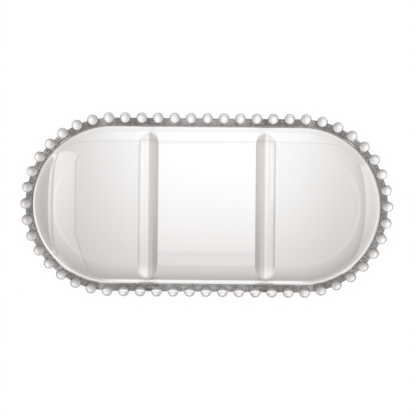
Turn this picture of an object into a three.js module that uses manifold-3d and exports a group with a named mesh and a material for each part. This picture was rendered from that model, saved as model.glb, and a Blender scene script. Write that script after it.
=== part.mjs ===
// Divided appetizer dish: a long dish of clear pressed glass with round ends, two cross dividers
// that part it into three compartments, and a string of glass beads round its rim.
// Millimetres, +Z up, +X along the dish. The origin is the middle of the flat base, on the table.
import * as THREE from "three";
import { mergeVertices } from "three/addons/utils/BufferGeometryUtils.js";
import Module from "manifold-3d";

// Overall size, over the beads
const OVERALL_LENGTH = 300;
const OVERALL_WIDTH = 148;
const OVERALL_HEIGHT = 30;

// Beads on the rim
const BEAD_DIAMETER = 8.8;
const BEAD_COUNT = 56;
const BEAD_ABOVE_RIM = 3; // how far a bead's top stands over the flat top of the rim
const BEAD_INSET = 0.2; // bead centres lie this far inside the outer edge of the rim

// Glass of the bowl
const FLOOR_THICKNESS = 5.1;
const RIM_WIDTH = 5.3; // across the flat top of the wall, before its edges are rounded
const OUTER_LEAN = THREE.MathUtils.degToRad(9.3); // of the wall's outer face, outwards
const INNER_LEAN = THREE.MathUtils.degToRad(17.5); // of its inner face: the glass thickens downwards
const FLOOR_FILLET = 12.5;
const BASE_ROUND = 20.2;
const RIM_INNER_ROUND = 2.7;
const RIM_OUTER_ROUND = 0.5;

// Dividers, which cross the floor along Y
const DIVIDER_SPACING = 96.7; // from one crest to the other
const DIVIDER_WIDTH = 16.4; // across the feet
const DIVIDER_HEIGHT = 7.5; // crest above the floor
const DIVIDER_CREST_ROUND = 2.6;
const FOOT_HEIGHT = 2.5; // up to here the flanks are steeper
const FOOT_LEAN = THREE.MathUtils.degToRad(26); // of that steep foot, inwards from the vertical
const FOOT_ROUND = 9.4; // from the foot into the straight flank

// Where one solid seats on another
const SEAT_GAP = 0.3;

// Facets
const ROUND_SEGMENTS = 72; // in a full turn of the two ends
const ARC_STEPS = 3; // a path gives an arc twice as many chords
const BEAD_SEGMENTS = 12;
const BEAD_RINGS = 8;

// Places that follow from the sizes
const BEAD_RADIUS = BEAD_DIAMETER / 2;
const STRAIGHT = OVERALL_LENGTH - OVERALL_WIDTH; // the straight run between the round ends
const RING_RADIUS = OVERALL_WIDTH / 2 - BEAD_RADIUS; // bead centres, from the middle of an end
const BEAD_Z = OVERALL_HEIGHT - BEAD_RADIUS;
const RIM_Z = OVERALL_HEIGHT - BEAD_ABOVE_RIM;
const RIM_EDGE = RING_RADIUS + BEAD_INSET; // the wall's outer face at the rim

const glass = new THREE.MeshStandardMaterial({
  name: "clear_glass",
  color: 0xe6e5e3,
  roughness: 0.05,
  metalness: 0,
  transparent: true,
  opacity: 0.35,
});

const wasm = await Module();
wasm.setup();

// A geometry with shared vertices merged and the triangles that collapsed at a pole left out.
function closed(geometry) {
  geometry.deleteAttribute("normal");
  geometry.deleteAttribute("uv");
  const merged = mergeVertices(geometry);
  const corners = merged.index.array;
  const kept = [];
  for (let i = 0; i < corners.length; i += 3) {
    const [a, b, c] = corners.slice(i, i + 3);
    if (a !== b && b !== c && c !== a) kept.push(a, b, c);
  }
  merged.setIndex(kept);
  return merged;
}

function toSolid(geometry) {
  const merged = closed(geometry);
  return new wasm.Manifold(
    new wasm.Mesh({
      numProp: 3,
      vertProperties: new Float32Array(merged.getAttribute("position").array),
      triVerts: new Uint32Array(merged.index.array),
    }),
  );
}

function toGeometry(solid) {
  const { vertProperties, triVerts } = solid.getMesh();
  const geometry = new THREE.BufferGeometry();
  geometry.setAttribute("position", new THREE.BufferAttribute(vertProperties, 3));
  geometry.setIndex(new THREE.BufferAttribute(triVerts, 1));
  return geometry;
}

// A path through corners, each rounded by an arc of its own radius. Corners are [x, y, radius].
function roundedPath(corners) {
  const path = new THREE.Path();
  const points = corners.map(([x, y]) => new THREE.Vector2(x, y));
  path.moveTo(points[0].x, points[0].y);
  for (let i = 1; i < corners.length; i++) {
    const radius = corners[i][2] ?? 0;
    if (radius === 0 || i === corners.length - 1) {
      path.lineTo(points[i].x, points[i].y);
      continue;
    }
    const back = points[i - 1].clone().sub(points[i]).normalize();
    const on = points[i + 1].clone().sub(points[i]).normalize();
    const half = Math.acos(THREE.MathUtils.clamp(back.dot(on), -1, 1)) / 2;
    const bisector = back.clone().add(on).normalize();
    const centre = points[i].clone().addScaledVector(bisector, radius / Math.sin(half));
    const start = points[i].clone().addScaledVector(back, radius / Math.tan(half));
    const end = points[i].clone().addScaledVector(on, radius / Math.tan(half));
    const clockwise = back.cross(on) > 0;
    const from = start.clone().sub(centre).angle();
    const to = end.clone().sub(centre).angle();
    path.lineTo(start.x, start.y);
    path.absarc(centre.x, centre.y, radius, from, to, clockwise);
  }
  return path;
}

// A profile of radius and height revolved about Z, then pulled apart along X: half a turn at each
// end and straight sides between. Flats lie on the profile's radius, straight sides among them.
function pulledRevolve(profile) {
  const step = (2 * Math.PI) / ROUND_SEGMENTS;
  const flatsOut = 1 / Math.cos(step / 2);
  const lathe = new THREE.LatheGeometry(profile, ROUND_SEGMENTS, step / 2);
  const position = lathe.getAttribute("position");
  for (let i = 0; i < position.count; i++) {
    const column = Math.floor(i / profile.length);
    const end = Math.sign(Math.sin((column + 0.5) * step));
    position.setX(i, position.getX(i) * flatsOut + (end * STRAIGHT) / 2);
    position.setZ(i, position.getZ(i) * flatsOut);
  }
  return lathe.rotateX(Math.PI / 2);
}

// Radius of the wall's outer face at a height
function outerWallRadius(z) {
  return RIM_EDGE + (z - RIM_Z) * Math.tan(OUTER_LEAN);
}

// Radius of the wall's inner face at a height, before its edges are rounded
function innerWallRadius(z) {
  return RIM_EDGE - RIM_WIDTH + (z - RIM_Z) * Math.tan(INNER_LEAN);
}

// Floor, wall and rim in one shell: its section from the base, out and up, over the rim and in.
function bowlGeometry() {
  const section = roundedPath([
    [0, 0],
    [outerWallRadius(0), 0, BASE_ROUND],
    [outerWallRadius(RIM_Z), RIM_Z, RIM_OUTER_ROUND],
    [innerWallRadius(RIM_Z), RIM_Z, RIM_INNER_ROUND],
    [innerWallRadius(FLOOR_THICKNESS), FLOOR_THICKNESS, FLOOR_FILLET],
    [0, FLOOR_THICKNESS],
  ]);
  return closed(pulledRevolve(section.getPoints(ARC_STEPS)));
}

// The room inside the bowl, a seat gap in from its wall and up to the top of the beads
function cavitySolid() {
  const section = roundedPath([
    [0, FLOOR_THICKNESS],
    [innerWallRadius(FLOOR_THICKNESS) - SEAT_GAP, FLOOR_THICKNESS, FLOOR_FILLET],
    [innerWallRadius(OVERALL_HEIGHT) - SEAT_GAP, OVERALL_HEIGHT],
    [0, OVERALL_HEIGHT],
  ]);
  return toSolid(pulledRevolve(section.getPoints(ARC_STEPS)));
}

// A divider's section from one foot over the crest to the other: a steep foot, then a straight flank
// that touches the round of the crest. The flanks would meet in a sharp edge above that round.
function dividerSection() {
  const foot = DIVIDER_WIDTH / 2;
  const shoulder = foot - FOOT_HEIGHT * Math.tan(FOOT_LEAN);
  const crestCentre = DIVIDER_HEIGHT - DIVIDER_CREST_ROUND - FOOT_HEIGHT;
  const toCentre = Math.hypot(shoulder, crestCentre);
  const flankAngle = Math.atan2(crestCentre, shoulder) + Math.asin(DIVIDER_CREST_ROUND / toCentre);
  const edge = FOOT_HEIGHT + shoulder * Math.tan(flankAngle);
  const section = roundedPath([
    [-foot, 0],
    [-shoulder, FOOT_HEIGHT, FOOT_ROUND],
    [0, edge, DIVIDER_CREST_ROUND],
    [shoulder, FOOT_HEIGHT, FOOT_ROUND],
    [foot, 0],
  ]);
  return new THREE.Shape(section.getPoints(ARC_STEPS));
}

// A ridge run across the dish and cut to the wall at both ends
function dividerGeometry(x) {
  const ridge = new THREE.ExtrudeGeometry(dividerSection(), { depth: OVERALL_WIDTH, bevelEnabled: false });
  ridge.rotateX(Math.PI / 2).translate(0, OVERALL_WIDTH / 2, FLOOR_THICKNESS);
  return toGeometry(toSolid(ridge).intersect(cavitySolid().translate([-x, 0, 0])));
}

// A ball about its own centre, +X outwards, notched to sit over the outer top corner of the rim
function beadGeometry() {
  const ball = new THREE.SphereGeometry(BEAD_RADIUS, BEAD_SEGMENTS, BEAD_RINGS).rotateX(Math.PI / 2);
  const reach = BEAD_DIAMETER;
  const top = RIM_Z - BEAD_Z + SEAT_GAP;
  const seat = (z) => outerWallRadius(BEAD_Z + z) - RING_RADIUS + SEAT_GAP;
  const notch = new THREE.Shape([
    new THREE.Vector2(-reach, -reach),
    new THREE.Vector2(seat(-reach), -reach),
    new THREE.Vector2(seat(top), top),
    new THREE.Vector2(-reach, top),
  ]);
  const corner = new THREE.ExtrudeGeometry(notch, { depth: 2 * reach, bevelEnabled: false });
  corner.rotateX(Math.PI / 2).translate(0, reach, 0);
  return toGeometry(toSolid(ball).subtract(toSolid(corner)));
}

// The closed line of the bead centres, from the middle of the +X end
function beadLine() {
  const line = new THREE.Path();
  line.absarc(STRAIGHT / 2, 0, RING_RADIUS, 0, Math.PI / 2);
  line.absarc(-STRAIGHT / 2, 0, RING_RADIUS, Math.PI / 2, (3 * Math.PI) / 2);
  line.absarc(STRAIGHT / 2, 0, RING_RADIUS, -Math.PI / 2, 0);
  return line;
}

function piece(name, geometry) {
  geometry.computeVertexNormals();
  const mesh = new THREE.Mesh(geometry, glass);
  mesh.name = name;
  return mesh;
}

const dish = new THREE.Group();
dish.name = "divided_dish";

dish.add(piece("bowl", bowlGeometry()));

const dividers = { divider_left: -DIVIDER_SPACING / 2, divider_right: DIVIDER_SPACING / 2 };
for (const [name, x] of Object.entries(dividers)) {
  const divider = piece(name, dividerGeometry(x));
  divider.position.x = x;
  dish.add(divider);
}

const line = beadLine();
const ball = beadGeometry();
for (let i = 0; i < BEAD_COUNT; i++) {
  const bead = piece(`bead_${String(i + 1).padStart(2, "0")}`, ball);
  const { x, y } = line.getPoint(i / BEAD_COUNT);
  const middle = THREE.MathUtils.clamp(x, -STRAIGHT / 2, STRAIGHT / 2);
  bead.position.set(x, y, BEAD_Z);
  bead.rotation.z = Math.atan2(y, x - middle);
  dish.add(bead);
}

export default dish;
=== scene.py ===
"""A divided appetizer dish of clear pressed glass, with a beaded rim, and the studio that shows it.

The dish is one pressing: a long bowl with round ends, two dividers raised out of its floor, and
a string of beads fused to the rim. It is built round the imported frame, in metres, +Z up.
"""

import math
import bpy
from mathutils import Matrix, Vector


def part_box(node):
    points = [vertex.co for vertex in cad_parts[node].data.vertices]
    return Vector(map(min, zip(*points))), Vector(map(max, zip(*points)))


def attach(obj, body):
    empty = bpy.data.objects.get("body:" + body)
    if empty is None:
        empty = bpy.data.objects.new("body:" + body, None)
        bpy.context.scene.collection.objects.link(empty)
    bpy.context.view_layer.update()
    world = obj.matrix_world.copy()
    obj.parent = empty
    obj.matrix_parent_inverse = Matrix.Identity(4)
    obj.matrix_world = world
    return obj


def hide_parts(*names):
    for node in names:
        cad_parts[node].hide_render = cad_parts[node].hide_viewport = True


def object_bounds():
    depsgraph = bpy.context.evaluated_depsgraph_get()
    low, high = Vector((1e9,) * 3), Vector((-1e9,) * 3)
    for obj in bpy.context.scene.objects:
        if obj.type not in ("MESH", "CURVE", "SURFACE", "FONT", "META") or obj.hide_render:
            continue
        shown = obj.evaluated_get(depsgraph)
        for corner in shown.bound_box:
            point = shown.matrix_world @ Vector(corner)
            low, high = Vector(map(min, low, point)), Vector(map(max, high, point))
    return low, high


bl_info = {
    "name": "Divided Appetizer Dish",
    "version": (1, 0, 0),
    "blender": (4, 5, 0),
    "location": "View3D > Sidebar > Dish",
    "description": "Presses a clear glass dish with two dividers and a beaded rim, and lights it",
    "category": "Object",
}

import bmesh
import bpy
from bpy.props import FloatProperty, FloatVectorProperty, IntProperty, PointerProperty
from mathutils import Matrix, Vector

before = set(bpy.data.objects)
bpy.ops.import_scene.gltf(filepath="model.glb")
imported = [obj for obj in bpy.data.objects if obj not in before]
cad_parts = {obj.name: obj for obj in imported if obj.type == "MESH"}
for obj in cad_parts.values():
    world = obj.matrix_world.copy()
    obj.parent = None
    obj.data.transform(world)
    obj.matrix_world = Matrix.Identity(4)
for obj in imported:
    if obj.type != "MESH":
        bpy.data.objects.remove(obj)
CAD_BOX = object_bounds()

# What the frame says
BOWL_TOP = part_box("bowl")[1].z
LEFT_LOW, LEFT_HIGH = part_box("divider_left")
RIGHT_LOW, RIGHT_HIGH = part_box("divider_right")
BEAD_LOW, BEAD_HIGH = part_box("bead_01")
BEAD_NODES = [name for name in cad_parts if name.startswith("bead_")]
FRAME_LENGTH = CAD_BOX[1].x - CAD_BOX[0].x
FRAME_WIDTH = CAD_BOX[1].y - CAD_BOX[0].y
FRAME_HEIGHT = CAD_BOX[1].z - CAD_BOX[0].z

# Rows of faces along the section of the glass, and columns round the dish
FLOOR_CUTS = 5
BASE_CUTS = 3
WALL_CUTS = 8
BASE_ARC = 18
RIM_ARC = 8
FILLET_ARC = 18
END_STEPS = 60
COARSE_STEP = 0.006
FLANK_STEPS = 18
STRAIGHT_STRETCHES = 4  # of the section: base, outer wall, inner wall and floor
BEAD_SEGMENTS = 32
BEAD_RINGS = 16
MERGE_DISTANCE = 0.00001

# Shape, finish, and the painted shade at the beads' edges
BLEND_POWER = 4  # how tightly a divider's end runs up into the wall
SMOOTH_ANGLE = math.radians(38)
# Painted shade: a bead's colour darkens towards where it is seen edge on
BEAD_EDGE_SHADE_FACING = (0.30, 0.75)  # from where to where a bead's edge darkens
WHITE = (1, 1, 1)

# The photo's frame
PHOTO_PIXELS = 416
PHOTO_LENGTH_PIXELS = 372.7  # the dish, over its beads
PHOTO_CENTRE = (206.70, 205.10)  # its middle, from the left and the top
PHOTO_ROLL = math.radians(0.55)  # the dish lies turned clockwise by this much

# Floor, table and lights
FLOOR_SPAN = 4
FLOOR_DROP = 0.0003  # below the base
TABLE_SPAN = 6
TABLE_FAR = (0.26, 0.72)  # least and most of the table's light away from its bright middle
TABLE_RIM = (1.0, 0.4)  # square of the distance where its pale surround begins, and how softly
TABLE_PALE = 0.85  # light of that surround
ROOM_RISE = (0.1, 0.7)  # heights between which the room's light changes from horizon to zenith
SOFTBOX_HEIGHT = 1.6
SOFTBOX_SIZE = 1.6
PANEL_HEIGHT = 1.0
PANEL_LOW = (-0.112, -0.084)  # its left front corner
PANEL_HIGH = (0.112, 0.220)  # its right back corner
PANEL_SOFT = 0.005
GLASS_BOUNCES = 40  # light runs a long way inside the wall

# Soft edges of the light and shade that the floor shows through the glass
STRIP_SOFT = 0.0005
STRIP_END_SOFT = 0.015
GLOW_SOFT = 0.0007
GLOW_SIDE_SOFT = 0.003
FRONT_SOFT = 0.0025
RIGHT_DIM_SOFT = 0.006
BACK_END_SOFT = 0.006

# Seen through the left end: a lit patch, a lit line beyond it and a dark crescent beyond that
LEFT_GLOW = (-0.1275, -0.1095)  # from outer to inner edge
LEFT_LINE = (-0.1322, -0.1300)
LEFT_DIM = (-0.155, -0.1328)
LEFT_SIDES = (-0.058, 0.047)
LEFT_TOP = 0.00095  # of the patch, measured square to its slanting back edge
LEFT_SLANT = 0.38
LEFT_FLARES = ((-1, 0.025, 0.34), (1, 0.035, 0.4))  # of its inner edge: side, from where, how fast
EDGE_LINE = 0.0014  # width of the thin dark line along its inner edge

# Seen through the right end: a lit crescent, and painted shade in the floor before it, which makes the
# glass look darker
RIGHT_GLOW = (0.1327, 0.1500)
RIGHT_DIM = 0.1285  # round here the darkening sets in
RIGHT_BOW = 2.2  # how fast its inner edge bows outwards from the middle
RIGHT_SIDES = (-0.046, 0.0375)

# Seen along the back: a thin dark line, and light between it and the wall
BACK_LINE = (0.0526, 0.0538)
BACK_EDGE = 0.066  # where that light ends
BACK_ENDS = (-0.112, 0.116)
BACK_GLOW = 0.025

# Seen at the front of the middle compartment: painted shade in the floor, which makes the glass look darker
FRONT_DIM = (-0.053, -0.0385)
FRONT_ENDS = (-0.0405, 0.0405)
FRONT_SHARE = 0.5

# Seen through the dividers: light under the outer flanks (across, from front to back, how softly
# and how much), and shade under the inner ones, which deepens to the front
FLANK_GLOWS = (
    ((-0.0537, -0.0500), (-0.030, 0.0526), 0.008, 0.05),
    ((0.0500, 0.0537), (0.002, 0.0526), 0.010, 0.09),
)
FLANK_DIM = (0.0437, 0.0472)
FLANK_DIM_RUN = (0.006, -0.046)  # from no shade to the full one
FLANK_DIM_SHARE = 1.7
FULL_DIM = 0.10  # share of the light that a full shade takes away


class DishSizes(bpy.types.PropertyGroup):
    """Sizes of the pressed glass"""

    length: FloatProperty(
        name="Length", description="Over the beads", default=FRAME_LENGTH, unit="LENGTH")
    width: FloatProperty(
        name="Width", description="Over the beads", default=FRAME_WIDTH, unit="LENGTH")
    height: FloatProperty(
        name="Height", description="To the top of the beads", default=FRAME_HEIGHT, unit="LENGTH")
    bead_diameter: FloatProperty(
        name="Bead Diameter", description="Of one bead on the rim",
        default=BEAD_HIGH.z - BEAD_LOW.z, unit="LENGTH")
    bead_count: IntProperty(
        name="Beads", description="Round the whole rim", default=len(BEAD_NODES))
    bead_inset: FloatProperty(
        name="Bead Inset", description="Of the bead centres from the outer edge of the rim",
        default=0.0002, unit="LENGTH")
    rim_height: FloatProperty(
        name="Rim Height", description="Of the flat top of the wall", default=BOWL_TOP, unit="LENGTH")
    thickness: FloatProperty(
        name="Thickness", description="Of the floor", default=LEFT_LOW.z, unit="LENGTH")
    rim_width: FloatProperty(
        name="Rim Width", description="Of the flat top of the wall, before its edges are rounded",
        default=0.0053, unit="LENGTH")
    outer_lean: FloatProperty(
        name="Outer Lean", description="Of the wall's outer face from the vertical",
        default=math.radians(9.3), subtype="ANGLE")
    inner_lean: FloatProperty(
        name="Inner Lean", description="Of the wall's inner face from the vertical",
        default=math.radians(17.5), subtype="ANGLE")
    floor_fillet: FloatProperty(
        name="Floor Fillet", description="Hollow curve from floor to wall", default=0.0125, unit="LENGTH")
    base_round: FloatProperty(
        name="Base Round", description="Round of the outside from base to wall",
        default=0.0202, unit="LENGTH")
    rim_inner_round: FloatProperty(
        name="Inner Round", description="Of the rim's inner edge", default=0.0027, unit="LENGTH")
    rim_outer_round: FloatProperty(
        name="Outer Round", description="Of the rim's outer edge", default=0.0005, unit="LENGTH")
    divider_spacing: FloatProperty(
        name="Divider Spacing", description="From one crest to the other",
        default=(RIGHT_LOW.x + RIGHT_HIGH.x - LEFT_LOW.x - LEFT_HIGH.x) / 2, unit="LENGTH")
    divider_width: FloatProperty(
        name="Divider Width", description="Across its feet",
        default=LEFT_HIGH.x - LEFT_LOW.x, unit="LENGTH")
    divider_height: FloatProperty(
        name="Divider Height", description="Crest above the floor",
        default=LEFT_HIGH.z - LEFT_LOW.z, unit="LENGTH")
    crest_round: FloatProperty(
        name="Crest Round", description="Of a divider's top", default=0.0026, unit="LENGTH")
    foot_height: FloatProperty(
        name="Foot Height", description="Up to where a divider's flanks are steeper",
        default=0.0025, unit="LENGTH")
    foot_lean: FloatProperty(
        name="Foot Lean", description="Of that steep foot from the vertical",
        default=math.radians(26), subtype="ANGLE")
    foot_round: FloatProperty(
        name="Foot Round", description="From that foot into the straight flank",
        default=0.0094, unit="LENGTH")


class GlassLook(bpy.types.PropertyGroup):
    """Finish of the glass, and the painted shade at the beads' edges"""

    colour: FloatVectorProperty(
        name="Colour", description="Tint of the glass", default=(0.985, 0.983, 0.978),
        size=3, subtype="COLOR", min=0, max=1)
    ior: FloatProperty(name="IOR", description="Index of refraction", default=1.52)
    roughness: FloatProperty(
        name="Roughness", description="Of the fire-polished surface", default=0.004, subtype="FACTOR")
    # Painted shade: the dark colour that a bead's glass is mixed towards where it is seen edge on
    bead_edge_shade: FloatVectorProperty(
        name="Bead Edge Shade", description="Tint of a bead where it is seen edge on", default=(0.10, 0.09, 0.09),
        size=3, subtype="COLOR", min=0, max=1)
    wave_scale: FloatProperty(
        name="Wave Scale", description="Waves of the pressed surface in a metre", default=22)
    wave_depth: FloatProperty(
        name="Wave Depth", description="Depth of those waves", default=0.00006, unit="LENGTH", precision=6)


class StageLook(bpy.types.PropertyGroup):
    """Floor, light and camera"""

    floor_colour: FloatVectorProperty(
        name="Floor", description="Colour of the floor", default=(0.86, 0.86, 0.86),
        size=3, subtype="COLOR", min=0, max=1)
    shadow_share: FloatProperty(
        name="Shadow Share", description="Of the floor's own light in what the camera sees of it",
        default=0.03, subtype="FACTOR")
    # The strip is painted light: a glowing white band in the floor that only rays through the glass see
    strip_middle: FloatProperty(
        name="Strip Middle", description="Of the white strip under the front wall, from the middle line",
        default=0.0722, unit="LENGTH")
    strip_width: FloatProperty(
        name="Strip Width", description="Of that strip", default=0.0057, unit="LENGTH")
    strip_length: FloatProperty(
        name="Strip Length", description="Of that strip", default=0.17, unit="LENGTH")
    left_glow: FloatVectorProperty(
        name="Left Glow", description="Light under the left end: at its inner edge, at its outer edge, "
        "and in the line beyond", default=(0.06, 0.19, 0.20), size=3)
    right_glow: FloatProperty(name="Right Glow", description="Light under the right end", default=0.13)
    glow_lean: FloatProperty(
        name="Glow Lean", description="Share by which those glows grow with each metre to the back",
        default=9)
    table_drop: FloatProperty(
        name="Table Drop", description="Of the lit table under the floor", default=0.4, unit="LENGTH")
    table_middle: FloatVectorProperty(
        name="Table Middle", description="Where the lit table is brightest", default=(0.05, 0.1),
        size=2, unit="LENGTH")
    table_reach: FloatVectorProperty(
        name="Table Reach", description="To where its light is halved: to the left, right, front and back",
        default=(0.197, 0.121, 0.199, 0.2625), size=4, unit="LENGTH")
    table_fall: FloatVectorProperty(
        name="Table Fall", description="Power of the fall of its light to the same four sides",
        default=(4.51, 2.41, 3.49, 1.53), size=4)
    table_bright: FloatProperty(name="Table Bright", description="In its middle", default=1.012)
    table_dark: FloatProperty(name="Table Dark", description="Far out", default=0.55)
    table_lean: FloatProperty(
        name="Table Lean", description="Share by which the far light grows with each metre to the back",
        default=1.308)
    table_shade: FloatVectorProperty(
        name="Table Shade", description="Tint of its dark parts", default=(1.09, 0.973, 0.94), size=3)
    camera_height: FloatProperty(
        name="Camera Height", description="Above the base", default=0.9, unit="LENGTH")
    horizon: FloatProperty(
        name="Horizon", description="Brightness of the room at the horizon, to the front and back",
        default=0.04)
    side_horizon: FloatProperty(
        name="Side Horizon", description="Brightness of the room at the horizon, to the left and right",
        default=0.15)
    zenith: FloatProperty(
        name="Zenith", description="Brightness of the room overhead", default=0.12)
    room_tint: FloatVectorProperty(
        name="Room Tint", description="Of the room's light", default=(1.06, 0.99, 0.96), size=3)
    panel_light: FloatProperty(
        name="Panel Light", description="Brightness of the panel overhead that the glass mirrors",
        default=0.80)
    floor_light: FloatProperty(
        name="Floor Light", description="Brightness of the softbox that lights the floor", default=4.0)


class NodeSheet:
    """Builds one node tree, out of sockets and numbers."""

    def __init__(self, tree):
        self.tree = tree

    def add(self, kind):
        return self.tree.nodes.new(f"ShaderNode{kind}")

    def put(self, term, socket):
        """Links another node's output to a socket, or gives the socket a value."""
        if isinstance(term, bpy.types.NodeSocket):
            self.tree.links.new(term, socket)
        else:
            socket.default_value = term

    def math(self, operation, *terms):
        node = self.add("Math")
        node.operation = operation
        for term, socket in zip(terms, node.inputs):
            self.put(term, socket)
        return node.outputs["Value"]

    def fold(self, operation, first, *others):
        """One operation over any number of terms, in turn."""
        for other in others:
            first = self.math(operation, first, other)
        return first

    def ramp(self, value, start, stop, low=0, high=1, kind="LINEAR"):
        """From low to high as a value runs from start to stop, and level beyond."""
        node = self.add("MapRange")
        node.interpolation_type = kind
        names = ("Value", "From Min", "From Max", "To Min", "To Max")
        for name, term in zip(names, (value, start, stop, low, high)):
            self.put(term, node.inputs[name])
        return node.outputs["Result"]

    def soft_step(self, value, middle, soft):
        """From 0 to 1 round a middle value."""
        return self.ramp(value, middle - soft, middle + soft, kind="SMOOTHSTEP")

    def soft_band(self, value, band, soft):
        """1 between two values and 0 outside them."""
        steps = (self.soft_step(value, edge, soft) for edge in band)
        return self.math("SUBTRACT", *steps)

    def tint(self, share, low, high):
        """A colour between two others."""
        node = self.add("Mix")
        node.data_type = "RGBA"
        self.put(share, node.inputs["Factor"])
        self.put((*low, 1), node.inputs["A"])
        self.put((*high, 1), node.inputs["B"])
        return node.outputs["Result"]

    def flat_place(self, middle=(0, 0)):
        """X and Y on a flat piece, from a middle of its own."""
        place = self.add("TexCoord")
        mapping = self.add("Mapping")
        split = self.add("SeparateXYZ")
        mapping.inputs["Location"].default_value = (-middle[0], -middle[1], 0)
        self.put(place.outputs["Object"], mapping.inputs["Vector"])
        self.put(mapping.outputs["Vector"], split.inputs["Vector"])
        return split.outputs["X"], split.outputs["Y"]

    def shader(self, kind, **inputs):
        """A shader with some of its inputs given."""
        node = self.add(kind)
        for name, term in inputs.items():
            self.put(term, node.inputs[name])
        return node.outputs[0]

    def mix(self, share, first, second):
        """One shader, and as much of a second as the share says."""
        node = self.add("MixShader")
        for term, socket in zip((share, first, second), node.inputs):
            self.put(term, socket)
        return node.outputs["Shader"]

    def both(self, first, second):
        """Two shaders on top of each other."""
        node = self.add("AddShader")
        for term, socket in zip((first, second), node.inputs):
            self.put(term, socket)
        return node.outputs["Shader"]

    def cover(self, shader):
        """Makes a shader the surface of the material."""
        self.put(shader, self.add("OutputMaterial").inputs["Surface"])


def rest_object_mode():
    """Leaves edit mode, with nothing selected."""
    if bpy.context.object and bpy.context.object.mode != "OBJECT":
        bpy.ops.object.mode_set(mode="OBJECT")
    bpy.ops.object.select_all(action="DESELECT")


def take(piece):
    """Makes a piece the only one selected, and active."""
    rest_object_mode()
    piece.select_set(True)
    bpy.context.view_layer.objects.active = piece


def select_near(piece, kind, point, reach):
    """Selects, in edit mode, only the vertices or edges whose middle lies within reach of a point."""
    bpy.ops.mesh.select_all(action="DESELECT")
    shape = bmesh.from_edit_mesh(piece.data)
    chosen = 0
    for part in getattr(shape, kind):
        ends = part.verts if kind == "edges" else [part]
        middle = sum((vertex.co for vertex in ends), Vector()) / len(ends)
        if (middle - point).length < reach:
            part.select_set(True)
            chosen += 1
    if not chosen:
        raise RuntimeError(f"no {kind} of {piece.name} lie at {tuple(point)}")
    bmesh.update_edit_mesh(piece.data)


def ring_radius(sizes):
    """From the middle of a round end to its bead centres."""
    return (sizes.width - sizes.bead_diameter) / 2


def straight_run(sizes):
    """Length of the straight sides between the round ends."""
    return sizes.length - sizes.width


def outer_wall(sizes, height):
    """Radius of the wall's outer face at a height."""
    rim_edge = ring_radius(sizes) + sizes.bead_inset
    return rim_edge + (height - sizes.rim_height) * math.tan(sizes.outer_lean)


def inner_wall(sizes, height):
    """Radius of the wall's inner face at a height, before its edges are rounded."""
    rim_edge = ring_radius(sizes) + sizes.bead_inset - sizes.rim_width
    return rim_edge + (height - sizes.rim_height) * math.tan(sizes.inner_lean)


def section_corners(sizes):
    """Corners of the section from the middle of the base, out, up, over the rim and in: radius,
    height, round of the corner and how many faces the round has."""
    rim = sizes.rim_height
    floor = sizes.thickness
    return [
        (0, 0, 0, 0),
        (outer_wall(sizes, 0), 0, sizes.base_round, BASE_ARC),
        (outer_wall(sizes, rim), rim, sizes.rim_outer_round, RIM_ARC),
        (inner_wall(sizes, rim), rim, sizes.rim_inner_round, RIM_ARC),
        (inner_wall(sizes, floor), floor, sizes.floor_fillet, FILLET_ARC),
        (0, floor, 0, 0),
    ]


def draw_section(name, corners, x):
    """An outline in the plane across the dish at x, drawn by extruding one vertex from corner to
    corner and rounding the corners."""
    rest_object_mode()
    bpy.ops.mesh.primitive_plane_add(size=COARSE_STEP)
    outline = bpy.context.object
    outline.name = name
    bpy.ops.object.mode_set(mode="EDIT")
    bpy.ops.mesh.merge(type="CENTER")
    points = [Vector((x, radius, height)) for radius, height, _, _ in corners]
    bpy.ops.transform.translate(value=points[0])
    for before, after in zip(points, points[1:]):
        bpy.ops.mesh.extrude_vertices_move(TRANSFORM_OT_translate={"value": after - before})
    for i in range(1, len(points) - 1):
        corner_round, arc = corners[i][2:]
        half = (points[i - 1] - points[i]).angle(points[i + 1] - points[i]) / 2
        select_near(outline, "verts", points[i], MERGE_DISTANCE)
        bpy.ops.mesh.bevel(
            offset=corner_round / math.tan(half), offset_type="OFFSET", segments=arc, affect="VERTICES")
    return outline


def cut_long_edges(outline, corners):
    """Gives the straight stretches of a section their rows."""
    shape = bmesh.from_edit_mesh(outline.data)
    long_edges = sorted(shape.edges, key=lambda edge: -edge.calc_length())[:STRAIGHT_STRETCHES]
    middles = [(edge.verts[0].co + edge.verts[1].co) / 2 for edge in long_edges]
    for middle in middles:
        low = middle.z < MERGE_DISTANCE
        level = abs(middle.z - corners[-1][1]) < MERGE_DISTANCE
        cuts = BASE_CUTS if low else FLOOR_CUTS if level else WALL_CUTS
        select_near(outline, "edges", middle, MERGE_DISTANCE)
        bpy.ops.mesh.subdivide(number_cuts=cuts)


def straight_columns(sizes):
    """Places of the columns along the straight sides, closest at the crests and feet of the dividers."""
    half = straight_run(sizes) / 2
    reach = sizes.divider_width / 2
    crest = sizes.divider_spacing / 2
    stops = [-half, -crest - reach, -crest, -crest + reach, crest - reach, crest, crest + reach, half]
    flanks = (1, 2, 4, 5)  # which of the stretches between those stops
    columns = [stops[0]]
    for i, (start, stop) in enumerate(zip(stops, stops[1:])):
        count = FLANK_STEPS if i in flanks else math.ceil((stop - start) / COARSE_STEP)
        for k in range(1, count + 1):
            share = (1 - math.cos(math.pi * k / count)) / 2 if i in flanks else k / count
            columns.append(start + (stop - start) * share)
    return columns


def sweep_section(sizes):
    """Turns the section in hand half round one end, draws it along one side, and so on to its start."""
    half = straight_run(sizes) / 2
    columns = straight_columns(sizes)
    steps = [after - before for before, after in zip(columns, columns[1:])]
    bpy.ops.mesh.select_all(action="SELECT")
    for end in (1, -1):
        bpy.ops.mesh.spin(steps=END_STEPS, angle=math.pi, center=(end * half, 0, 0), axis=(0, 0, 1))
        for step in steps:
            bpy.ops.mesh.extrude_region_move(TRANSFORM_OT_translate={"value": (-end * step, 0, 0)})
    bpy.ops.mesh.select_all(action="SELECT")
    bpy.ops.mesh.remove_doubles(threshold=MERGE_DISTANCE)
    bpy.ops.mesh.normals_make_consistent(inside=False)


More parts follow.
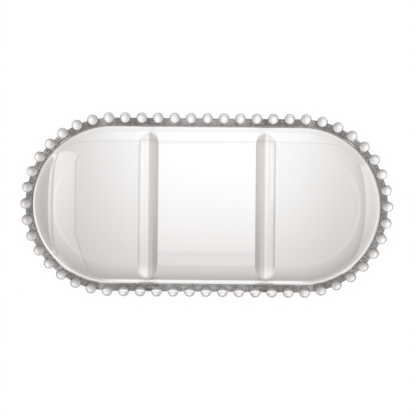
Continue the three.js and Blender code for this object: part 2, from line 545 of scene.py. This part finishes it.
def divider_rise(sizes, offset):
    """Height of a divider over the floor at a distance from its crest line: a steep foot, rounded
    into a straight flank that touches the round of the crest."""
    foot = sizes.divider_width / 2
    shoulder = foot - sizes.foot_height * math.tan(sizes.foot_lean)
    crest_centre = sizes.divider_height - sizes.crest_round - sizes.foot_height
    to_centre = math.hypot(shoulder, crest_centre)
    flank_angle = math.atan2(crest_centre, shoulder) + math.asin(sizes.crest_round / to_centre)
    foot_normal = Vector((math.cos(sizes.foot_lean), math.sin(sizes.foot_lean)))
    flank_normal = Vector((math.sin(flank_angle), math.cos(flank_angle)))
    between = foot_normal + flank_normal
    centre = Vector((shoulder, sizes.foot_height)) - between * 2 * sizes.foot_round / between.length_squared
    if offset >= foot:
        return 0
    if offset >= (centre + foot_normal * sizes.foot_round).x:
        return (foot - offset) / math.tan(sizes.foot_lean)
    if offset >= (centre + flank_normal * sizes.foot_round).x:
        return centre.y + math.sqrt(sizes.foot_round ** 2 - (offset - centre.x) ** 2)
    if offset >= sizes.crest_round * math.sin(flank_angle):
        return sizes.foot_height + (shoulder - offset) * math.tan(flank_angle)
    rise = math.sqrt(sizes.crest_round ** 2 - offset ** 2)
    return sizes.divider_height - sizes.crest_round + rise


def raise_dividers(bowl, sizes):
    """Lifts the floor and the foot of the wall into two ridges that run up into the wall."""
    floor = sizes.thickness
    half = straight_run(sizes) / 2
    shape = bmesh.from_edit_mesh(bowl.data)
    for vertex in shape.verts:
        x, y, z = vertex.co
        beyond = max(0, abs(x) - half)
        inside = math.hypot(beyond, y) < inner_wall(sizes, z) + MERGE_DISTANCE
        if z < floor - MERGE_DISTANCE or not inside:
            continue
        ridge = divider_rise(sizes, abs(abs(x) - sizes.divider_spacing / 2))
        wall = max(0, z - floor)
        vertex.co.z = floor + (wall ** BLEND_POWER + ridge ** BLEND_POWER) ** (1 / BLEND_POWER)
    bmesh.update_edit_mesh(bowl.data)


def bead_places(sizes):
    """Bead centres, equally spaced along the line that runs round the dish, from the +X end."""
    radius = ring_radius(sizes)
    half = straight_run(sizes) / 2
    quarter = radius * math.pi / 2
    height = sizes.height - sizes.bead_diameter / 2
    whole = 4 * (quarter + half)
    for i in range(sizes.bead_count):
        along = whole * i / sizes.bead_count
        side = 1 if along < whole / 2 else -1
        back = min(along, whole - along)
        if back < quarter:
            turn = back / radius
            x, y = half + radius * math.cos(turn), radius * math.sin(turn)
        elif back < quarter + 2 * half:
            x, y = half - (back - quarter), radius
        else:
            turn = math.pi / 2 + (back - quarter - 2 * half) / radius
            x, y = radius * math.cos(turn) - half, radius * math.sin(turn)
        yield Vector((x, side * y, height))


def glass_material(look, name):
    """Clear fire-polished glass with the faint waves of a pressed surface."""
    material = bpy.data.materials.new(name)
    material.use_nodes = True
    sheet = NodeSheet(material.node_tree)
    glass = material.node_tree.nodes["Principled BSDF"]
    glass.inputs["Base Color"].default_value = (*look.colour, 1)
    glass.inputs["Transmission Weight"].default_value = 1
    glass.inputs["IOR"].default_value = look.ior
    glass.inputs["Roughness"].default_value = look.roughness
    place = sheet.add("TexCoord")
    waves = sheet.add("TexNoise")
    waves.inputs["Scale"].default_value = look.wave_scale
    waves.inputs["Detail"].default_value = 1
    relief = sheet.add("Bump")
    relief.inputs["Strength"].default_value = 1
    relief.inputs["Distance"].default_value = look.wave_depth
    sheet.put(place.outputs["Object"], waves.inputs["Vector"])
    sheet.put(waves.outputs["Fac"], relief.inputs["Height"])
    sheet.put(relief.outputs["Normal"], glass.inputs["Normal"])
    return material


def bead_material(look):
    """The same glass, with painted shade: its colour darkens where a bead is seen edge on."""
    material = glass_material(look, "bead_glass")
    sheet = NodeSheet(material.node_tree)
    # Painted shade: 0 where a bead is seen face on, rising to 1 towards its edge
    edge = sheet.ramp(sheet.add("LayerWeight").outputs["Facing"], *BEAD_EDGE_SHADE_FACING)
    glass = material.node_tree.nodes["Principled BSDF"]
    sheet.put(sheet.tint(edge, look.colour, look.bead_edge_shade), glass.inputs["Base Color"])
    return material


def string_of_beads(context, sizes, material):
    """All the beads round the rim, in one mesh."""
    rest_object_mode()
    bpy.ops.mesh.primitive_uv_sphere_add(
        segments=BEAD_SEGMENTS, ring_count=BEAD_RINGS, radius=sizes.bead_diameter / 2)
    bead = bpy.context.object
    bead.data.materials.append(material)
    copies = []
    for place in bead_places(sizes):
        copy = bead.copy()
        copy.data = bead.data.copy()
        copy.data.transform(Matrix.Translation(place))
        context.collection.objects.link(copy)
        copies.append(copy)
    bpy.data.objects.remove(bead)
    take(copies[0])
    for copy in copies:
        copy.select_set(True)
    bpy.ops.object.join()
    return bpy.context.object


def fuse(piece, other):
    """Melts another piece into a piece. Each keeps its own material."""
    take(piece)
    melt = piece.modifiers.new("fuse", "BOOLEAN")
    melt.operation = "UNION"
    melt.solver = "EXACT"
    melt.material_mode = "TRANSFER"
    melt.object = other
    bpy.ops.object.modifier_apply(modifier=melt.name)
    bpy.data.objects.remove(other)


class DISH_OT_press_bowl(bpy.types.Operator):
    """Press the bowl: floor, leaning wall and rim in one shell, with the dividers raised in it"""

    bl_idname = "dish.press_bowl"
    bl_label = "Press Bowl"

    def execute(self, context):
        sizes = context.scene.dish_sizes
        corners = section_corners(sizes)
        bowl = draw_section("glass_dish", corners, straight_run(sizes) / 2)
        cut_long_edges(bowl, corners)
        sweep_section(sizes)
        raise_dividers(bowl, sizes)
        rest_object_mode()
        bowl.data.materials.append(glass_material(context.scene.glass_look, "clear_glass"))
        return {"FINISHED"}


class DISH_OT_string_beads(bpy.types.Operator):
    """String the beads round the rim and fuse them to it"""

    bl_idname = "dish.string_beads"
    bl_label = "String Beads"

    def execute(self, context):
        sizes = context.scene.dish_sizes
        bowl = bpy.data.objects["glass_dish"]
        fuse(bowl, string_of_beads(context, sizes, bead_material(context.scene.glass_look)))
        bpy.ops.object.shade_smooth_by_angle(angle=SMOOTH_ANGLE)
        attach(bowl, "root")
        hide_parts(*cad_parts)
        return {"FINISHED"}


class DISH_OT_set_stage(bpy.types.Operator):
    """Lay the pale floor and the lit table, hang the lights and set the camera above"""

    bl_idname = "dish.set_stage"
    bl_label = "Set Stage"

    def execute(self, context):
        look = context.scene.stage_look
        sizes = context.scene.dish_sizes
        lay_floor(look)
        light_table(look)
        light_room(context.scene, look)
        hang_softbox(look)
        hang_panel(look)
        place_camera(context.scene, look, sizes)
        context.scene.view_settings.view_transform = "Standard"
        context.scene.cycles.max_bounces = GLASS_BOUNCES
        context.scene.cycles.glossy_bounces = GLASS_BOUNCES
        return {"FINISHED"}


def new_material(name):
    """A material of the stage, with no nodes yet, and its sheet. Its glow isn't sampled as a lamp."""
    material = bpy.data.materials.new(name)
    material.use_nodes = True
    material.node_tree.nodes.clear()
    material.cycles.emission_sampling = "NONE"
    return material, NodeSheet(material.node_tree)


def hide_from(piece, *rays):
    """Keeps some kinds of ray from seeing a piece."""
    for ray in rays:
        setattr(piece, f"visible_{ray}", False)


def left_end(sheet, look, x, y):
    """Light and shade seen through the left end."""
    inner, outer, line = look.left_glow
    flared = x
    for side, begin, rate in LEFT_FLARES:
        past = sheet.math("MAXIMUM", sheet.math("MULTIPLY_ADD", y, side, -begin), 0)
        flared = sheet.math("MULTIPLY_ADD", past, -rate, flared)
    slanted = sheet.math("MULTIPLY_ADD", x, LEFT_SLANT, y)
    before_top = sheet.math("SUBTRACT", 1, sheet.soft_step(slanted, LEFT_TOP, GLOW_SOFT))
    sides = sheet.soft_band(y, LEFT_SIDES, GLOW_SIDE_SOFT)
    rise = (outer - inner) / (LEFT_GLOW[0] - LEFT_GLOW[1])
    level = sheet.math("MULTIPLY_ADD", x, rise, inner - rise * LEFT_GLOW[1])
    level = sheet.math("MAXIMUM", level, inner)
    patch = sheet.soft_step(x, LEFT_GLOW[0], GLOW_SOFT)
    patch = sheet.math("SUBTRACT", patch, sheet.soft_step(flared, LEFT_GLOW[1], GLOW_SOFT))
    patch = sheet.fold("MULTIPLY", level, patch, before_top)
    beyond = sheet.soft_band(x, LEFT_LINE, GLOW_SOFT)
    glow = sheet.math("MULTIPLY_ADD", beyond, line, patch)
    edge = sheet.soft_band(flared, (LEFT_GLOW[1], LEFT_GLOW[1] + EDGE_LINE), GLOW_SOFT)
    edge = sheet.fold("MULTIPLY", edge, before_top, sides)
    crescent = sheet.soft_band(x, LEFT_DIM, GLOW_SOFT)
    return sheet.math("MULTIPLY", glow, sides), sheet.math("ADD", edge, crescent)


def right_end(sheet, look, x, y):
    """Light and shade seen through the right end."""
    bowed = sheet.math("MULTIPLY_ADD", sheet.math("MULTIPLY", y, y), RIGHT_BOW, x)
    sides = sheet.soft_band(y, RIGHT_SIDES, GLOW_SIDE_SOFT)
    crescent = sheet.soft_band(bowed, RIGHT_GLOW, GLOW_SOFT)
    before = sheet.soft_step(bowed, RIGHT_DIM, RIGHT_DIM_SOFT)
    before = sheet.math("SUBTRACT", before, sheet.soft_step(bowed, RIGHT_GLOW[0], GLOW_SOFT))
    glow = sheet.fold("MULTIPLY", crescent, look.right_glow, sides)
    return glow, sheet.math("MULTIPLY", before, sides)


def back_and_front(sheet, x, y):
    """Light and shade seen along the back, and shade at the front of the middle compartment."""
    ends = sheet.soft_band(x, BACK_ENDS, BACK_END_SOFT)
    line = sheet.math("MULTIPLY", sheet.soft_band(y, BACK_LINE, GLOW_SOFT), ends)
    glow = sheet.soft_band(y, (BACK_LINE[1], BACK_EDGE), GLOW_SOFT)
    front = sheet.soft_band(y, FRONT_DIM, FRONT_SOFT)
    front = sheet.math("MULTIPLY", front, sheet.soft_band(x, FRONT_ENDS, GLOW_SOFT))
    dim = sheet.math("MULTIPLY_ADD", front, FRONT_SHARE, line)
    return sheet.fold("MULTIPLY", glow, ends, BACK_GLOW), dim


def divider_flanks(sheet, x, y):
    """Light and shade seen through the flanks of the dividers."""
    glow = 0
    for across, along, soft, level in FLANK_GLOWS:
        flank = sheet.soft_band(x, across, GLOW_SOFT)
        flank = sheet.math("MULTIPLY", flank, sheet.soft_band(y, along, soft))
        glow = sheet.math("MULTIPLY_ADD", flank, level, glow)
    shade = sheet.soft_band(sheet.math("ABSOLUTE", x), FLANK_DIM, GLOW_SOFT)
    return glow, sheet.fold("MULTIPLY", shade, sheet.ramp(y, *FLANK_DIM_RUN), FLANK_DIM_SHARE)


def seen_through_glass(sheet, look, x, y):
    """Light that the floor adds to what is seen through the glass, and the share that it lets by."""
    left_glow, left_dim = left_end(sheet, look, x, y)
    right_glow, right_dim = right_end(sheet, look, x, y)
    far_glow, far_dim = back_and_front(sheet, x, y)
    flank_glow, flank_dim = divider_flanks(sheet, x, y)
    ends_lean = sheet.math("MULTIPLY_ADD", y, look.glow_lean, 1)
    ends_glow = sheet.math("MULTIPLY", sheet.math("ADD", left_glow, right_glow), ends_lean)
    dim = sheet.fold("ADD", left_dim, right_dim, far_dim, flank_dim)
    share = sheet.math("SUBTRACT", 1, sheet.math("MULTIPLY", dim, FULL_DIM))
    return sheet.fold("ADD", ends_glow, far_glow, flank_glow), share


def front_glow_strip(sheet, look, x, y):
    """A glowing white strip under the front wall, painted light for the glass to show: 1 on it and 0 beside
    it.
    """
    across = sheet.math("ABSOLUTE", sheet.math("ADD", y, look.strip_middle))
    along = sheet.math("ABSOLUTE", x)
    off_side = sheet.soft_step(across, look.strip_width / 2, STRIP_SOFT)
    off_end = sheet.soft_step(along, look.strip_length / 2, STRIP_END_SOFT)
    return sheet.math("SUBTRACT", 1, sheet.math("MAXIMUM", off_side, off_end))


def lay_floor(look):
    """A pale floor, white to the camera apart from a faint shadow. To what comes through the glass
    it is clear, apart from a glowing white strip under the front and faint light and shade, all painted
    light in the floor."""
    rest_object_mode()
    bpy.ops.mesh.primitive_plane_add(size=FLOOR_SPAN, location=(0, 0, -FLOOR_DROP))
    floor = bpy.context.object
    floor.name = "floor"
    material, sheet = new_material("pale_floor")
    x, y = sheet.flat_place()
    rays = sheet.add("LightPath")
    matt = sheet.shader("BsdfDiffuse", Color=(*look.floor_colour, 1))
    white = sheet.shader("Emission")
    pale = sheet.mix(look.shadow_share, white, matt)
    looked_at = sheet.math("MAXIMUM", rays.outputs["Is Camera Ray"], rays.outputs["Is Glossy Ray"])
    seen = sheet.mix(looked_at, matt, pale)
    added, share = seen_through_glass(sheet, look, x, y)
    clear = sheet.shader("BsdfTransparent", Color=share)
    clear = sheet.both(clear, sheet.shader("Emission", Strength=added))
    # Painted light: on the strip, rays through the glass see white glow instead of the clear floor
    window = sheet.mix(front_glow_strip(sheet, look, x, y), clear, white)
    sheet.cover(sheet.mix(rays.outputs["Is Transmission Ray"], seen, window))
    floor.data.materials.append(material)


def light_table(look):
    """A table under the floor, brightest behind the middle and back of the dish, pale far out."""
    rest_object_mode()
    bpy.ops.mesh.primitive_plane_add(size=TABLE_SPAN, location=(0, 0, -look.table_drop))
    table = bpy.context.object
    table.name = "light_table"
    material, sheet = new_material("lit_table")
    x, y = sheet.flat_place(look.table_middle)
    level = look.table_bright - look.table_dark
    sides = zip((x, x, y, y), ("MINIMUM", "MAXIMUM") * 2, (-1, 1) * 2, look.table_reach, look.table_fall)
    for place, side, way, reach, fall in sides:
        share = sheet.math("DIVIDE", sheet.math(side, place, 0), way * reach)
        power = sheet.math("POWER", share, fall)
        level = sheet.math("DIVIDE", level, sheet.math("ADD", power, 1))
    lean = look.table_dark * look.table_lean
    far = sheet.math("MULTIPLY_ADD", y, lean, look.table_dark + lean * look.table_middle[1])
    far = sheet.math("MINIMUM", sheet.math("MAXIMUM", far, TABLE_FAR[0]), TABLE_FAR[1])
    away = sheet.math("MULTIPLY_ADD", x, x, sheet.math("MULTIPLY", y, y))
    surround = sheet.math("MULTIPLY", sheet.soft_step(away, *TABLE_RIM), TABLE_PALE)
    level = sheet.math("ADD", level, sheet.math("MAXIMUM", far, surround))
    colour = sheet.tint(level, look.table_shade, WHITE)
    sheet.cover(sheet.shader("Emission", Color=colour, Strength=level))
    table.data.materials.append(material)


def light_room(scene, look):
    """A dim room, white to the camera."""
    world = bpy.data.worlds.new("studio")
    scene.world = world
    world.use_nodes = True
    sheet = NodeSheet(world.node_tree)
    background = world.node_tree.nodes["Background"]
    place = sheet.add("TexCoord")
    split = sheet.add("SeparateXYZ")
    sheet.put(place.outputs["Generated"], split.inputs["Vector"])
    seen = sheet.add("LightPath").outputs["Is Camera Ray"]
    sideways = sheet.math("MULTIPLY", split.outputs["X"], split.outputs["X"])
    low = sheet.math("MULTIPLY_ADD", sideways, look.side_horizon - look.horizon, look.horizon)
    level = sheet.ramp(split.outputs["Z"], *ROOM_RISE, low, look.zenith)
    sheet.put(sheet.math("MAXIMUM", level, seen), background.inputs["Strength"])
    sheet.put(sheet.tint(seen, look.room_tint, WHITE), background.inputs["Color"])


def hang_softbox(look):
    """The light on the floor, which the glass doesn't show."""
    rest_object_mode()
    bpy.ops.object.light_add(type="AREA", location=(0, 0, SOFTBOX_HEIGHT))
    box = bpy.context.object
    box.name = "floor_softbox"
    box.data.size = SOFTBOX_SIZE
    box.data.energy = look.floor_light * math.pi * SOFTBOX_SIZE ** 2
    hide_from(box, "camera", "glossy", "transmission")


def hang_panel(look):
    """A glowing panel overhead with soft edges, there for the glass to mirror."""
    rest_object_mode()
    middle = [(low + high) / 2 for low, high in zip(PANEL_LOW, PANEL_HIGH)]
    half = [(high - low) / 2 for low, high in zip(PANEL_LOW, PANEL_HIGH)]
    bpy.ops.mesh.primitive_plane_add(size=2, location=(*middle, PANEL_HEIGHT))
    bpy.ops.transform.resize(value=(*half, 1))
    bpy.ops.object.transform_apply(location=False, rotation=False, scale=True)
    panel = bpy.context.object
    panel.name = "overhead_panel"
    hide_from(panel, "camera", "diffuse", "shadow")
    material, sheet = new_material("overhead_panel")
    level = look.panel_light
    for place, reach in zip(sheet.flat_place(), half):
        away = sheet.soft_step(sheet.math("ABSOLUTE", place), reach - PANEL_SOFT, PANEL_SOFT)
        level = sheet.math("MULTIPLY", sheet.math("SUBTRACT", 1, away), level)
    sheet.cover(sheet.shader("Emission", Strength=level))
    panel.data.materials.append(material)


def place_camera(scene, look, sizes):
    """The photo's camera, straight above, with the dish where it lies in the picture."""
    rest_object_mode()
    bead_height = sizes.height - sizes.bead_diameter / 2
    metre_pixels = PHOTO_LENGTH_PIXELS / sizes.length
    right = (PHOTO_PIXELS / 2 - PHOTO_CENTRE[0]) / metre_pixels
    down = (PHOTO_PIXELS / 2 - PHOTO_CENTRE[1]) / metre_pixels
    bpy.ops.object.camera_add(
        location=(right, -down, look.camera_height), rotation=(0, 0, PHOTO_ROLL))
    camera = bpy.context.object
    camera.name = "photo_camera"
    camera.data.sensor_fit = "HORIZONTAL"
    camera.data.angle = 2 * math.atan(
        PHOTO_PIXELS / metre_pixels / 2 / (look.camera_height - bead_height))
    scene.camera = camera


class DISH_PT_sidebar(bpy.types.Panel):
    """Lists what makes the dish"""

    bl_label = "Divided Dish"
    bl_idname = "DISH_PT_sidebar"
    bl_space_type = "VIEW_3D"
    bl_region_type = "UI"
    bl_category = "Dish"

    def draw(self, context):
        scene = context.scene
        for group in (scene.dish_sizes, scene.glass_look, scene.stage_look):
            box = self.layout.box()
            for name in group.__annotations__:
                box.prop(group, name)
        for operator in STEPS:
            self.layout.operator(operator.bl_idname)


STEPS = (DISH_OT_press_bowl, DISH_OT_string_beads, DISH_OT_set_stage)
CLASSES = (DishSizes, GlassLook, StageLook, *STEPS, DISH_PT_sidebar)


def register():
    for made in CLASSES:
        bpy.utils.register_class(made)
    bpy.types.Scene.dish_sizes = PointerProperty(type=DishSizes)
    bpy.types.Scene.glass_look = PointerProperty(type=GlassLook)
    bpy.types.Scene.stage_look = PointerProperty(type=StageLook)


def unregister():
    del bpy.types.Scene.stage_look
    del bpy.types.Scene.glass_look
    del bpy.types.Scene.dish_sizes
    for made in reversed(CLASSES):
        bpy.utils.unregister_class(made)


def main():
    register()
    bpy.ops.dish.press_bowl()
    bpy.ops.dish.string_beads()
    bpy.ops.dish.set_stage()


if __name__ == "__main__":
    main()
